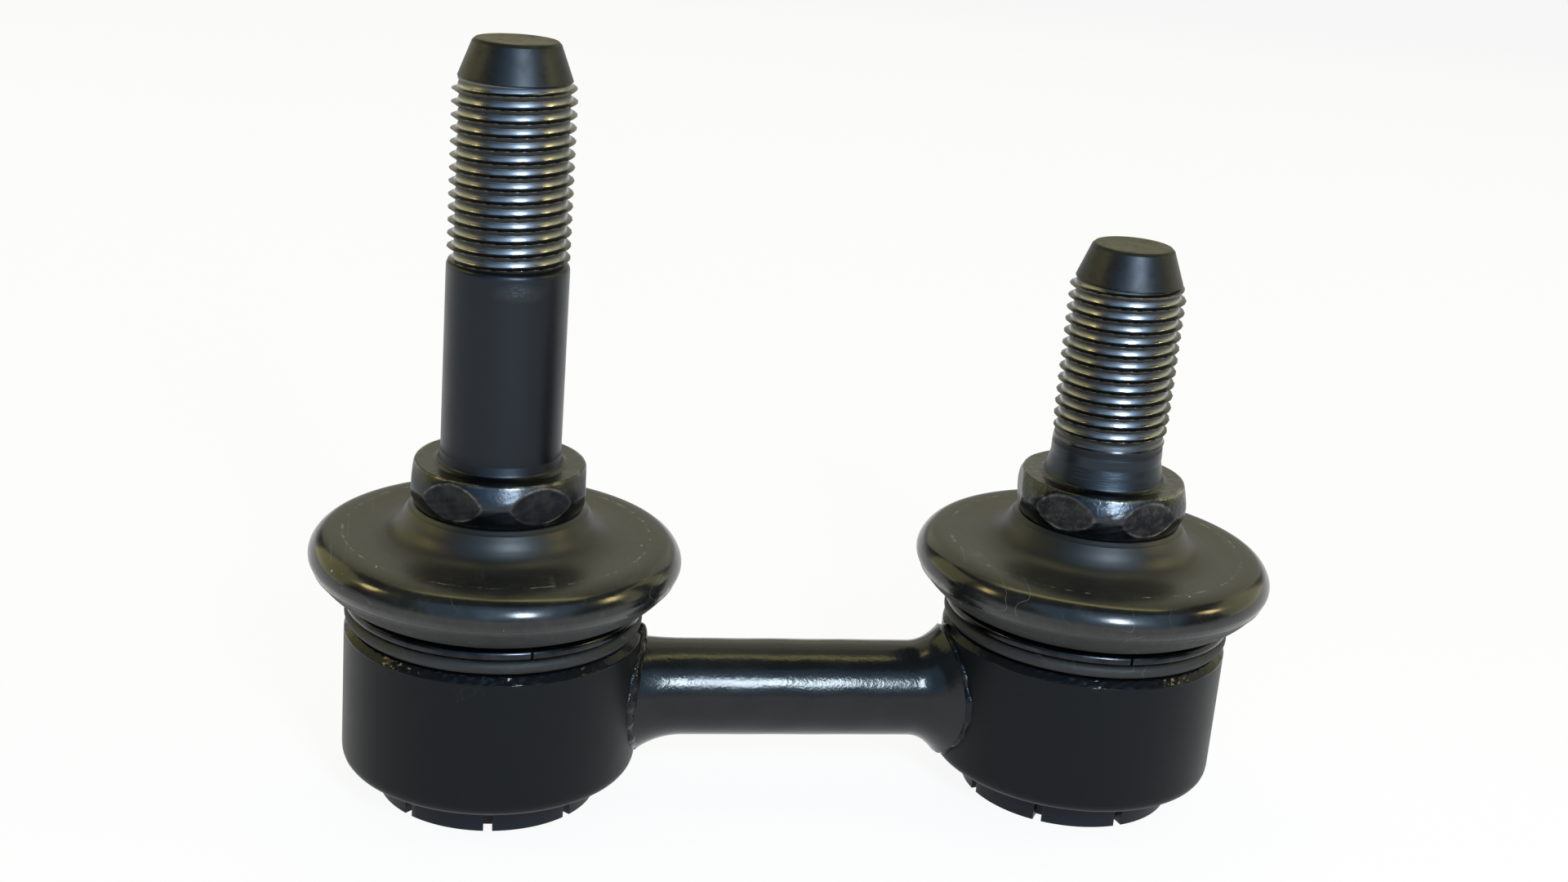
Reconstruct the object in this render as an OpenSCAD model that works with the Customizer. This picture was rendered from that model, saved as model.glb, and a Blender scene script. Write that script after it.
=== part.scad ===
// Stabilizer link: a short rod with a sealed ball joint at each end.
// Millimetres. X runs along the rod, from the long stud to the short stud.
// Z runs up the studs. Z = 0 is the plane of the end caps, on which the link stands.

/* [Link] */
// distance between the two stud axes
link_length = 64; // [56:0.5:90]
// rod diameter
rod_d = 10.3; // [8:0.1:12]
// diameter of the flared rod ends
flare_d = 13.8; // [12.5:0.1:14]
// length of each flare
flare_len = 3.4; // [2:0.1:8]
// radius of the weld bead's section
weld_r = 0.7; // [0.5:0.1:1.2]

/* [Ball and socket] */
// ball diameter
ball_d = 18; // [17:0.1:20]
// wall of the ball seat at the ball's equator
seat_wall = 3.45; // [2.5:0.05:4.5]
// seat under the ball
seat_floor = 1; // [0.8:0.1:2]
// how far the seat reaches above the ball's equator
seat_grip = 4.8; // [4:0.1:5.5]
// wall of the steel housing
housing_wall = 2.9; // [2.4:0.1:4]
// steel between the seat's top and the housing's shoulder
housing_web = 2.2; // [1.6:0.1:4]
// thickness of the housing's rolled-in lower lip
lip_t = 1.5; // [1:0.1:2.4]
// rounding of the housing's lower edge
edge_r = 1.4; // [0.6:0.1:2]
// chamfer of the housing's upper edge
edge_c = 0.6; // [0.2:0.1:1]

/* [End cap] */
// how far the cap stands below the housing
crown_drop = 3.45; // [3:0.05:4]
// cap under the seat
cap_floor = 1.5; // [1:0.1:2.5]
// ledge of the cap on the housing's lip
cap_ledge = 1.05; // [0.6:0.05:1.6]
// thickness of the cap's flange
cap_flange = 1.4; // [1:0.1:2]
// slots around the crown
slot_count = 8; // [4:1:12]
// slot width
slot_w = 0.9; // [0.6:0.1:2]
// slot depth towards the axis
slot_depth = 1.5; // [1:0.1:3]
// slot height from the standing plane
slot_h = 3; // [1.5:0.1:3]

/* [Boot] */
// outer diameter of the boot's rim
rim_d = 37.7; // [35:0.1:42]
// height of the rim above the housing's shoulder
rim_rise = 7.15; // [6:0.05:8.5]
// height of the boot from the shoulder to the collar
boot_h = 13.1; // [12:0.1:16]
// rubber thickness
boot_wall = 1.35; // [1:0.05:1.5]
// radius of the lip bead under the clip
bead_r = 0.7; // [0.5:0.05:0.9]
// wire of the clip
wire_d = 1.2; // [1:0.05:1.6]
// gap between the ends of the clip's wire
clip_gap = 1; // [0.5:0.5:6]
// where the clip's gap points
clip_turn = -85; // [-180:5:180]
// height of the housing's neck above its shoulder
neck_h = 3.4; // [3:0.1:4]
// slide ring thickness
ring_t = 0.4; // [0.3:0.05:0.6]
// slide ring height
ring_h = 2.4; // [1.5:0.1:2.8]

/* [Studs] */
// thread diameter
thread_d = 12; // [10:0.5:13]
// thread pitch
thread_pitch = 1.25; // [1:0.25:1.75]
// long stud above its collar
long_len = 42.4; // [36:0.1:60]
// plain shank of the long stud
long_shank = 20.6; // [10:0.1:26]
// short stud above its collar
short_len = 25.1; // [20:0.1:34]
// plain run-out of the short stud
short_shank = 4.2; // [2:0.1:8]
// across the flats of the hexagon
collar_af = 17; // [16.6:0.1:17.6]
// diameter the hexagon's corners are turned to
collar_d = 18.6; // [18:0.1:20]
// how far the turned corners bulge between the collar's faces
collar_bulge = 0.8; // [0.4:0.1:1]
// groove between shank and thread
relief_w = 0.7; // [0.4:0.1:1.5]
// collar height
collar_h = 4.45; // [3.5:0.05:6]
// neck between ball and boot seat
neck_d = 9.5; // [8:0.1:10]
// length of the tapered tip
tip_len = 3.8; // [2:0.1:5]
// diameter of the tip's end face
tip_d = 8.2; // [6:0.1:9]
// turn of the long stud's hexagon
long_turn = -2; // [-30:1:30]
// turn of the short stud's hexagon
short_turn = -16; // [-30:1:30]
// swing of the studs
swing = 20; // [10:1:22]

/* [Hidden] */
fit = 0.05;
slack = 0.15;
cut = 1;
$fn = 96;

ball_r = ball_d / 2;
bore_r = ball_r + seat_wall;
housing_r = bore_r + housing_wall;
crown_r = bore_r - cap_ledge;
ball_z = cap_floor + seat_floor + 2 * fit + ball_r;
seat_top = ball_z + seat_grip;
web_z = seat_top + fit;
shoulder_z = web_z + housing_web;
lip_z = crown_drop + lip_t;
flange_z = lip_z + fit;
seat_z = flange_z + cap_flange + fit;
dish_r = ball_r + seat_floor + 2 * fit;
socket_r = ball_r + fit;
mouth_r = sqrt(pow(socket_r, 2) - pow(seat_grip, 2));
rod_z = (crown_drop + shoulder_z) / 2;

neck_r = neck_d / 2;
neck_z = shoulder_z + neck_h;
reach_r = (neck_z - ball_z) * tan(swing) + neck_r / cos(swing);
throat_r = reach_r + 0.7;
groove_r = housing_r - wire_d - boot_wall - 2 * fit;
rib_r = groove_r + 0.5;
rib_z = neck_z - 1;

cuff_r = groove_r + fit + boot_wall;
cuff_z = shoulder_z + 2 * fit;
bead_z = cuff_z + 0.3 + bead_r;
clip_r = cuff_r + fit + wire_d / 2;
clip_z = bead_z + bead_r + fit + wire_d / 2;
clip_top = clip_z + wire_d / 2 + fit;
clip_gap_angle = clip_gap / clip_r * 180 / PI;
rim_r = rim_d / 2;
rim_z = shoulder_z + rim_rise;
collar_z = shoulder_z + boot_h;
lip_top = collar_z - slack;
stud_seat_r = thread_d / 2 + 0.25;
ring_r = stud_seat_r + fit;
sleeve_r = ring_r + ring_t;
lip_r = sleeve_r + fit + boot_wall;
ring_z = lip_top - ring_h;
seat_start = ring_z - 0.6;

thread_r = thread_d / 2;
thread_root_r = thread_r - 0.61 * thread_pitch;
crest_w = thread_pitch / 8;
root_w = thread_pitch / 4;
relief_c = 0.4;
tip_root_r = thread_r - 0.45;
neck_taper = 2.4;
collar_r = collar_d / 2;
collar_top = collar_z + collar_h;
collar_arc = (pow(collar_h / 2, 2) + pow(collar_bulge, 2)) / (2 * collar_bulge);
mouth_chamfer = 0.4;

// Boot section, each pair a share of the width and of the height between two edges.
under_shares = [[0.27, 0.08], [0.68, 0.40], [0.94, 0.77], [1, 1]];
top_shares = [[0.05, 0.19], [0.14, 0.335], [0.275, 0.405], [0.575, 0.483],
    [0.80, 0.586], [0.93, 0.72], [1, 0.87]];
boot_steps = 5;

steel_black = [0.10, 0.10, 0.11];
paint_black = [0.05, 0.05, 0.06];
rubber_black = [0.13, 0.13, 0.13];
seat_white = [0.85, 0.85, 0.82];
cap_blue = [0.07, 0.08, 0.11];
bright_steel = [0.55, 0.56, 0.58];

function arc(c, r, from, to, n) = [for (i = [0:n])
    c + r * [cos(from + (to - from) * i / n), sin(from + (to - from) * i / n)]];

// A smooth curve through points p, with n steps from each point to the next.
function spline_at(a, b, c, d, t) =
    0.5 * (2 * b + (c - a) * t + (2 * a - 5 * b + 4 * c - d) * t * t
    + (3 * b - a - 3 * c + d) * t * t * t);
function spline(p, n) = concat(
    [for (i = [0:len(p) - 2]) for (k = [0:n - 1])
        spline_at(p[max(i - 1, 0)], p[i], p[i + 1], p[min(i + 2, len(p) - 1)], k / n)],
    [p[len(p) - 1]]);

// The same curve, moved by t to its left at every point.
function heading(p, i) = p[min(i + 1, len(p) - 1)] - p[max(i - 1, 0)];
function inset(p, t) = [for (i = [0:len(p) - 1])
    let (d = heading(p, i) / norm(heading(p, i))) p[i] + t * [-d[1], d[0]]];

function reversed(p) = [for (i = [len(p) - 1:-1:0]) p[i]];

boot_knots = concat(
    [[cuff_r, clip_top]],
    [for (s = under_shares)
        [cuff_r + s[0] * (rim_r - cuff_r), clip_top + s[1] * (rim_z - clip_top)]],
    [for (s = top_shares)
        [rim_r - s[0] * (rim_r - lip_r), rim_z + s[1] * (lip_top - rim_z)]]);
boot_outside = concat(
    [[cuff_r, cuff_z], [cuff_r, (cuff_z + clip_top) / 2]],
    spline(boot_knots, boot_steps),
    [[lip_r, lip_top - slack], [lip_r, lip_top]]);
boot_inside = inset(boot_outside, boot_wall);

housing_section = concat(
    [[crown_r + fit, crown_drop]],
    arc([housing_r - edge_r, crown_drop + edge_r], edge_r, -90, 0, 8),
    [[housing_r, shoulder_z - edge_c], [housing_r - edge_c, shoulder_z],
    [groove_r, shoulder_z], [groove_r, rib_z], [rib_r, rib_z], [rib_r, neck_z],
    [throat_r, neck_z], [mouth_r + 4 * fit, web_z],
    [bore_r, web_z], [bore_r, lip_z], [crown_r + fit, lip_z]]);

// Trumpet flare of the rod, from the rod's diameter to the flare's.
flare_end = link_length / 2 - housing_r;
flare_start = flare_end - flare_len;
flare_steps = 10;
flare_curve = [for (i = [0:flare_steps])
    [rod_d / 2 + (flare_d - rod_d) / 2 * pow(i / flare_steps, 2.2),
    flare_start + flare_len * i / flare_steps]];
flare_depth = flare_end + housing_r / 2;
rod_section = concat(
    [[0, -flare_depth], [flare_d / 2, -flare_depth]],
    [for (p = reversed(flare_curve)) [p[0], -p[1]]],
    flare_curve,
    [[flare_d / 2, flare_depth], [0, flare_depth]]);

// Weld bead: a half-round section led around the rod's end along the housing's wall.
weld_steps = 72;
weld_sides = 8;
weld_path_r = flare_d / 2 - weld_r / 4;
function wall_x(y) = sqrt(pow(housing_r, 2) - y * y);
function weld_point(turn, side) = let (
    r = weld_path_r + weld_r * cos(180 * side / weld_sides),
    y = r * cos(turn), z = r * sin(turn))
    [wall_x(y) + weld_r * sin(180 * side / weld_sides), y, rod_z + z];
weld_points = [for (i = [0:weld_steps - 1]) for (k = [0:weld_sides])
    weld_point(360 * i / weld_steps, k)];
weld_ring = weld_sides + 1;
function weld_index(i, k) = (i % weld_steps) * weld_ring + k % weld_ring;
weld_faces = [for (i = [0:weld_steps - 1]) for (k = [0:weld_sides])
    [weld_index(i, k), weld_index(i, k + 1), weld_index(i + 1, k + 1), weld_index(i + 1, k)]];

module at_left() { translate([-link_length / 2, 0, 0]) children(); }
module at_right() { translate([link_length / 2, 0, 0]) children(); }

module rod_bar() {
    translate([0, 0, rod_z]) rotate([0, 90, 0]) rotate_extrude() polygon(rod_section);
}

module socket_block() { cylinder(r = housing_r, h = collar_z); }

module weld_bead() {
    difference() {
        polyhedron(points = weld_points, faces = weld_faces, convexity = 6);
        translate([link_length / 2, 0, 0]) rod_bar();
    }
}

module housing() { rotate_extrude() polygon(housing_section); }

module ball_seat() {
    difference() {
        union() {
            translate([0, 0, seat_z]) cylinder(r = bore_r - fit, h = seat_top - seat_z);
            intersection() {
                translate([0, 0, ball_z]) sphere(r = dish_r - fit);
                cylinder(r = bore_r, h = ball_z);
            }
        }
        translate([0, 0, ball_z]) sphere(r = socket_r);
        translate([0, 0, seat_top - mouth_chamfer])
            cylinder(r1 = mouth_r - mouth_chamfer, r2 = mouth_r + 3 * fit, h = mouth_chamfer + fit);
    }
}

module end_cap() {
    difference() {
        union() {
            cylinder(r = crown_r, h = flange_z + cap_flange);
            translate([0, 0, flange_z]) cylinder(r = bore_r - fit, h = cap_flange);
        }
        translate([0, 0, ball_z]) sphere(r = dish_r);
        for (i = [0:slot_count - 1])
            rotate(360 * i / slot_count)
                translate([crown_r - slot_depth, -slot_w / 2, -cut])
                    cube([slot_depth + cut, slot_w, slot_h + cut]);
    }
}

module boot() {
    rotate_extrude() difference() {
        union() {
            polygon(concat(boot_outside, reversed(boot_inside)));
            translate([housing_r - bead_r, bead_z]) circle(r = bead_r);
        }
        translate([0, rib_z - fit]) square([rib_r + fit, neck_z - rib_z + 2 * fit]);
    }
}

module boot_clip() {
    rotate(clip_turn + clip_gap_angle / 2) rotate_extrude(angle = 360 - clip_gap_angle)
        translate([clip_r, clip_z]) circle(d = wire_d);
}

module slide_ring() {
    rotate_extrude() union() {
        translate([ring_r, ring_z]) square([ring_t, ring_h]);
        translate([ring_r, ring_z]) square([2.5 * ring_t, ring_t]);
    }
}

module collar(turn) {
    intersection() {
        translate([0, 0, collar_z]) rotate(turn + 30)
            cylinder(d = collar_af / cos(30), h = collar_h, $fn = 6);
        rotate_extrude() union() {
            translate([0, collar_z]) square([collar_r - collar_bulge, collar_h]);
            intersection() {
                translate([0, collar_z]) square([collar_r, collar_h]);
                translate([collar_r - collar_arc, collar_z + collar_h / 2]) circle(r = collar_arc);
            }
        }
    }
}

// Thread as level rings, one for each turn, from the tip down to the foot of the thread.
function thread_rings(foot_z, tip_z) = let (
    last_z = tip_z - thread_pitch / 2,
    turns = floor((last_z - foot_z) / thread_pitch),
    flank = (thread_pitch - crest_w - root_w) / 2)
    [for (i = [turns:-1:0]) let (z = last_z - i * thread_pitch)
        each [[thread_root_r, z - crest_w / 2 - flank], [thread_r, z - crest_w / 2],
            [thread_r, z + crest_w / 2], [thread_root_r, z + crest_w / 2 + flank]]];

// Everything of a stud that is turned: neck, boot seat, shank, thread and tip.
module stud_turning(shank_len, stud_len) {
    shank_z = collar_top + shank_len;
    tip_z = collar_top + stud_len - tip_len;
    rotate_extrude() polygon(concat(
        [[0, ball_z], [neck_r, ball_z], [neck_r, seat_start - neck_taper],
        [stud_seat_r, seat_start], [stud_seat_r, collar_z + collar_h / 2],
        [thread_r, collar_z + collar_h / 2], [thread_r, shank_z - relief_c],
        [thread_r - relief_c, shank_z], [thread_root_r, shank_z]],
        thread_rings(shank_z + relief_w, tip_z),
        [[tip_root_r, tip_z], [tip_d / 2, tip_z + tip_len], [0, tip_z + tip_len]]));
}

module ball_stud(shank_len, stud_len, turn) {
    union() {
        translate([0, 0, ball_z]) sphere(r = ball_r);
        stud_turning(shank_len, stud_len);
        collar(turn);
    }
}

module link_rod() {
    color(paint_black) difference() {
        rod_bar();
        at_left() socket_block();
        at_right() socket_block();
    }
}

module left_weld_bead() { color(paint_black) at_left() weld_bead(); }
module right_weld_bead() { color(paint_black) at_right() mirror([1, 0, 0]) weld_bead(); }
module left_housing() { color(paint_black) at_left() housing(); }
module right_housing() { color(paint_black) at_right() housing(); }
module left_ball_seat() { color(seat_white) at_left() ball_seat(); }
module right_ball_seat() { color(seat_white) at_right() ball_seat(); }
module left_end_cap() { color(cap_blue) at_left() end_cap(); }
module right_end_cap() { color(cap_blue) at_right() end_cap(); }
module left_boot_clip() { color(steel_black) at_left() boot_clip(); }
module right_boot_clip() { color(steel_black) at_right() boot_clip(); }
module left_boot() { color(rubber_black) at_left() boot(); }
module right_boot() { color(rubber_black) at_right() boot(); }
module left_slide_ring() { color(bright_steel) at_left() slide_ring(); }
module right_slide_ring() { color(bright_steel) at_right() slide_ring(); }
module left_ball_stud() { color(steel_black) at_left() ball_stud(long_shank, long_len, long_turn); }
module right_ball_stud() {
    color(steel_black) at_right() ball_stud(short_shank, short_len, short_turn);
}

link_rod();
left_weld_bead();
right_weld_bead();
left_housing();
right_housing();
left_ball_seat();
right_ball_seat();
left_end_cap();
right_end_cap();
left_boot_clip();
right_boot_clip();
left_boot();
right_boot();
left_slide_ring();
right_slide_ring();
left_ball_stud();
right_ball_stud();
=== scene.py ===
import math

import bmesh
import bpy
import numpy as np
from mathutils import Matrix, Vector


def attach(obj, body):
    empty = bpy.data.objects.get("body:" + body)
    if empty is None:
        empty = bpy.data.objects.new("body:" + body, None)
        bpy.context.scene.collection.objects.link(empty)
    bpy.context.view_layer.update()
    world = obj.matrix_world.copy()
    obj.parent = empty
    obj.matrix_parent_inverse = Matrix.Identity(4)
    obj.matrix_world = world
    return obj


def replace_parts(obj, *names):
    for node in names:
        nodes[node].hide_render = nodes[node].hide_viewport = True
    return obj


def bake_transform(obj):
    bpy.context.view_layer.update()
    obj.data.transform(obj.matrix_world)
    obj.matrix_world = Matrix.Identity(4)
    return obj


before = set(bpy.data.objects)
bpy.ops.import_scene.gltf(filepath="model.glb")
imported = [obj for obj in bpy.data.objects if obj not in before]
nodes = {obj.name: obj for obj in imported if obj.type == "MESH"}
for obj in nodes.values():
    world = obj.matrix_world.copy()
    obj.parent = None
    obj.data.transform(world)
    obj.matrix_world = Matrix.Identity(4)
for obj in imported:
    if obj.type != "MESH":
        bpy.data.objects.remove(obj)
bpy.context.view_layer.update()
mm = 0.001
studAxis = 32.0                                  # from the middle of the link to either stud, in mm
sides = {"left": -studAxis, "right": studAxis}
ballHeight = 11.6
print("loaded", len(nodes), "CAD nodes")


# Meshes

def meshFrom(name, points, faces, sharp=None, marks=None):
    mesh = bpy.data.meshes.new(name)
    mesh.from_pydata([tuple(p) for p in np.asarray(points) * mm], [], [tuple(f) for f in faces])
    for mark, values in (marks or {}).items():
        mesh.attributes.new(mark, "FLOAT", "POINT").data.foreach_set("value", values.reshape(-1).astype(np.float32))
    bm = bmesh.new()
    bm.from_mesh(mesh)
    bmesh.ops.remove_doubles(bm, verts=bm.verts, dist=1e-8)
    bmesh.ops.recalc_face_normals(bm, faces=bm.faces)
    bm.to_mesh(mesh)
    bm.free()
    mesh.shade_smooth()
    if sharp:
        mesh.set_sharp_from_angle(angle=math.radians(sharp))
    piece = bpy.data.objects.new(name, mesh)
    bpy.context.scene.collection.objects.link(piece)
    return piece


def gridFaces(rows, around, closed):
    faces = []
    for i in range(rows if closed else rows - 1):
        for k in range(around):
            a, b = i * around, ((i + 1) % rows) * around
            k2 = (k + 1) % around
            faces.append((a + k, a + k2, b + k2, b + k))
    return faces


def lathe(name, outline, x, around=256, closed=True, sharp=30, shape=None, marks=None):
    outline = np.asarray(outline, float)
    turn = np.arange(around) * 2 * math.pi / around
    r = np.repeat(outline[:, :1], around, 1)
    z = np.repeat(outline[:, 1:2], around, 1)
    if shape:
        r, z = shape(r, z, np.repeat(turn[None, :], len(outline), 0))
    points = np.stack([x + r * np.cos(turn), r * np.sin(turn), z], -1)
    return meshFrom(name, points.reshape(-1, 3), gridFaces(len(outline), around, closed), sharp, marks)


def rounded(corners, steps=6):
    out = []                                     # corners are (r, z, rounding)
    for i, (r, z, f) in enumerate(corners):
        p = np.array([r, z])
        if f <= 0:
            out.append(p)
            continue
        u = np.array(corners[i - 1][:2]) - p
        v = np.array(corners[(i + 1) % len(corners)][:2]) - p
        lu, lv = np.linalg.norm(u), np.linalg.norm(v)
        half = math.acos(np.clip(u @ v / (lu * lv), -1, 1)) / 2
        t = min(f / math.tan(half), 0.48 * lu, 0.48 * lv)
        a, b = p + u / lu * t, p + v / lv * t
        for s in np.linspace(0, 1, steps + 1):
            out.append(a * (1 - s) ** 2 + 2 * p * s * (1 - s) + b * s ** 2)
    return np.array(out)


def spread(outline, step, closed=True):
    out = []
    last = len(outline) if closed else len(outline) - 1
    for i in range(last):
        a, b = outline[i], outline[(i + 1) % len(outline)]
        n = max(1, int(math.ceil(np.linalg.norm(b - a) / step)))
        out += [a + (b - a) * k / n for k in range(n)]
    if not closed:
        out.append(outline[-1])
    return np.array(out)


def curveThrough(p, n):
    p = np.asarray(p, float)
    out = []
    for i in range(len(p) - 1):
        a, b, c, d = p[max(i - 1, 0)], p[i], p[i + 1], p[min(i + 2, len(p) - 1)]
        for t in np.arange(n) / n:
            out.append(0.5 * (2 * b + (c - a) * t + (2 * a - 5 * b + 4 * c - d) * t * t
                              + (3 * b - a - 3 * c + d) * t ** 3))
    return np.array(out + [p[-1]])


def waviness(turn, seed, low, high, count=24):
    rng = np.random.default_rng(seed)            # smooth, closed noise around a ring
    out = np.zeros_like(turn)
    for k in rng.integers(low, high, count):
        out += np.sin(k * turn + rng.uniform(0, 2 * math.pi)) / math.sqrt(count / 2)
    return out


# Shader maths

class Signal:
    def __init__(self, tree, socket):
        self.tree, self.socket = tree, socket

    def math(self, operation, other=None, swap=False, clamp=False):
        node = self.tree.nodes.new("ShaderNodeMath")
        node.operation, node.use_clamp = operation, clamp
        for k, v in enumerate((other, self) if swap else (self, other)):
            if isinstance(v, Signal):
                self.tree.links.new(v.socket, node.inputs[k])
            elif v is not None:
                node.inputs[k].default_value = v
        return Signal(self.tree, node.outputs[0])

    def __add__(self, other): return self.math("ADD", other)
    def __radd__(self, other): return self.math("ADD", other)
    def __sub__(self, other): return self.math("SUBTRACT", other)
    def __rsub__(self, other): return self.math("SUBTRACT", other, swap=True)
    def __mul__(self, other): return self.math("MULTIPLY", other)
    def __rmul__(self, other): return self.math("MULTIPLY", other)
    def __truediv__(self, other): return self.math("DIVIDE", other)
    def __pow__(self, other): return self.math("POWER", other)
    def __gt__(self, other): return self.math("GREATER_THAN", other)
    def __lt__(self, other): return self.math("LESS_THAN", other)
    def __abs__(self): return self.math("ABSOLUTE")
    def held(self): return self.math("ADD", 0.0, clamp=True)


class Finish:
    def __init__(self, name, constants):
        self.material = bpy.data.materials.new(name)
        self.material.use_nodes = True
        self.tree = self.material.node_tree
        self.shader = self.tree.nodes["Principled BSDF"]
        for socket, value in constants.items():
            self.shader.inputs[socket].default_value = value
        self.place = self.add("ShaderNodeTexCoord", {}, {}, "Object")

    def add(self, kind, settings, values, out=0):
        node = self.tree.nodes.new(kind)
        for key, value in settings.items():
            setattr(node, key, value)
        for key, value in values.items():
            if isinstance(value, Signal):
                self.tree.links.new(value.socket, node.inputs[key])
            else:
                node.inputs[key].default_value = value
        return Signal(self.tree, node.outputs[out])

    def axis(self, name):
        return self.add("ShaderNodeSeparateXYZ", {}, {0: self.place}, name)

    def axisRadius(self):                        # distance from the nearer stud axis, in mm
        across = abs(self.axis("X")) - studAxis * mm
        return (across * across + self.axis("Y") * self.axis("Y")) ** 0.5 / mm

    def heightMm(self):
        return self.axis("Z") / mm

    def noise(self, size, detail=3.0, rough=0.55, place=None):
        return self.add("ShaderNodeTexNoise", {}, {"Vector": place or self.place, "Scale": 1 / (size * mm),
                                                   "Detail": detail, "Roughness": rough}, 0)

    def ramp(self, signal, low, high):
        return ((signal - low) / (high - low)).held()

    def band(self, signal, low, high, soft):
        return self.ramp(signal, low - soft, low) * (1 - self.ramp(signal, high, high + soft))

    def specks(self, size, share, radius):       # sparse dots, one in some of the cells
        cell = {"Vector": self.place, "Scale": 1 / (size * mm)}
        near = self.add("ShaderNodeTexVoronoi", {}, cell, "Distance")
        pick = self.add("ShaderNodeTexVoronoi", {}, cell, "Color")
        chosen = self.add("ShaderNodeSeparateColor", {}, {0: pick}, 0)
        return (near < radius) * (chosen < share)

    def stretched(self, scale, turn=(0.0, 0.0, 0.0)):
        return self.add("ShaderNodeMapping", {}, {"Vector": self.place, "Rotation": turn, "Scale": scale}, 0)

    def scratches(self, size, thin, turn):       # long thin lines from stretched noise
        lines = self.noise(size, 1.0, 0.4, self.stretched((1.0, 0.03, 1.0), turn))
        return 1 - self.ramp(abs(lines - 0.5), 0.0, thin)

    def mix(self, share, a, b):
        return self.add("ShaderNodeMix", {"data_type": "RGBA"}, {0: share, 6: a, 7: b}, 2)

    def use(self, socket, signal):
        self.tree.links.new(signal.socket, self.shader.inputs[socket])

    def bump(self, height, depth):
        self.use("Normal", self.add("ShaderNodeBump", {}, {"Height": height, "Distance": depth * mm,
                                                           "Strength": 1.0}, 0))
        return self.material


def give(piece, finish):
    piece.data.materials.clear()
    piece.data.materials.append(finish)
    return piece


# Finishes

def rubberFinish():
    f = Finish("bootRubber", {"Metallic": 0.0, "Specular IOR Level": 0.5})
    r, z = f.axisRadius(), f.heightMm()
    cloud, grain, film = f.noise(9, 5.0, 0.6), f.noise(0.35, 3.0), f.noise(1.3, 7.0, 0.72)
    outside = f.ramp(r, 10.8, 13.5)              # all but the neck, which is left cleaner and so darker: painted shade under the collar
    scored = f.scratches(3.2, 0.006, (0.3, 0.2, 0.6)) * f.ramp(f.noise(5, 2.0), 0.5, 0.64) * outside
    rim = f.band(r, 17.0, 19.5, 1.4) * f.band(z, 22.6, 25.6, 1.2)
    top = f.band(r, 15.6, 15.75, 0.1) * f.ramp(z, 27.6, 27.9)
    worn = top * f.ramp(f.noise(1.1, 4.0, 0.7), 0.52, 0.62)             # a rubbed line around the top, in dashes
    scuffs = rim * f.ramp(f.noise(0.8, 6.0, 0.75), 0.46, 0.7)
    settled = f.ramp(cloud, 0.4, 0.8) * 0.3 + f.ramp(film, 0.5, 0.72) * 0.3
    # real dust on all but the neck; the bare neck's darker colour is painted shade under the collar
    dust = (settled * outside + scuffs * 0.3 + scored * 0.6).held()
    polished = f.band(z, 24.9, 28.05, 0.2) * f.ramp(r, 16.9, 17.5)      # the rim is the smoothest
    dull = (1 - f.ramp(z, 24.2, 25.0)) * outside + (1 - outside) * 0.2  # its underside and the neck are less so
    dots = f.specks(2.2, 0.11, 0.06) + (0.5 * outside + rim) * f.specks(1.1, 0.08, 0.07)
    colour = f.mix(dust, (0.0055, 0.0056, 0.0058, 1), (0.038, 0.036, 0.029, 1))
    f.use("Base Color", f.mix((dots + worn * 0.4 + scored * 0.14).held(), colour, (0.3, 0.29, 0.25, 1)))
    gloss = 0.26 + cloud * 0.16 + film * 0.08 - polished * 0.2
    f.use("Roughness", (gloss + dull * 0.25 + scuffs * 0.2 + dots * 0.3).held())
    return f.bump(grain * 0.3 + f.noise(1.6, 2.0) * 0.5 + dots * 0.6 + scuffs * 0.2, 0.016)


def housingFinish():
    f = Finish("satinBlackPaint", {"Metallic": 0.0, "Specular IOR Level": 0.13})
    r, z = f.axisRadius(), f.heightMm()
    edge = f.band(z, 17.95, 19.2, 0.12) * f.ramp(r, 13.9, 14.3)
    cloud, peel = f.noise(6, 4.0), f.noise(0.5, 2.0)
    scratched = f.scratches(2.6, 0.004, (0.4, 0.9, 0.7)) * f.ramp(f.noise(8, 2.0), 0.58, 0.7)
    dots = f.specks(3.6, 0.03, 0.045)
    colour = f.mix((scratched * 0.12 + dots).held(), (0.0062, 0.0068, 0.0078, 1), (0.14, 0.135, 0.12, 1))
    f.use("Base Color", colour)
    f.use("Roughness", (0.34 + cloud * 0.12 - edge * 0.26).held())
    return f.bump(peel * 0.1 * (1 - edge) + edge * f.noise(0.7, 2.0, 0.6) * 0.8 + dots * 0.4, 0.04)


def rodFinish():
    f = Finish("glossBlackPaint", {"Metallic": 0.0, "Specular IOR Level": 0.34})
    cloud, peel, fine = f.noise(5, 4.0), f.noise(0.9, 2.0), f.noise(0.3, 2.0)
    dots = f.specks(3.0, 0.08, 0.045)
    base = f.mix(f.ramp(cloud, 0.4, 0.8), (0.006, 0.0065, 0.007, 1), (0.011, 0.0115, 0.012, 1))
    f.use("Base Color", f.mix(dots, base, (0.3, 0.3, 0.28, 1)))
    f.use("Roughness", (0.11 + cloud * 0.12).held())
    return f.bump(peel * 0.5 + fine * 0.46, 0.036)


def weldFinish():
    f = Finish("paintedWeld", {"Metallic": 0.0, "Specular IOR Level": 0.24})
    cloud = f.noise(2.2, 4.0)
    f.use("Base Color", f.mix(f.ramp(cloud, 0.5, 0.8), (0.006, 0.006, 0.007, 1), (0.018, 0.017, 0.014, 1)))
    f.use("Roughness", (0.05 + cloud * 0.12).held())
    return f.bump(f.noise(0.6, 3.0, 0.6), 0.16)


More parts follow.
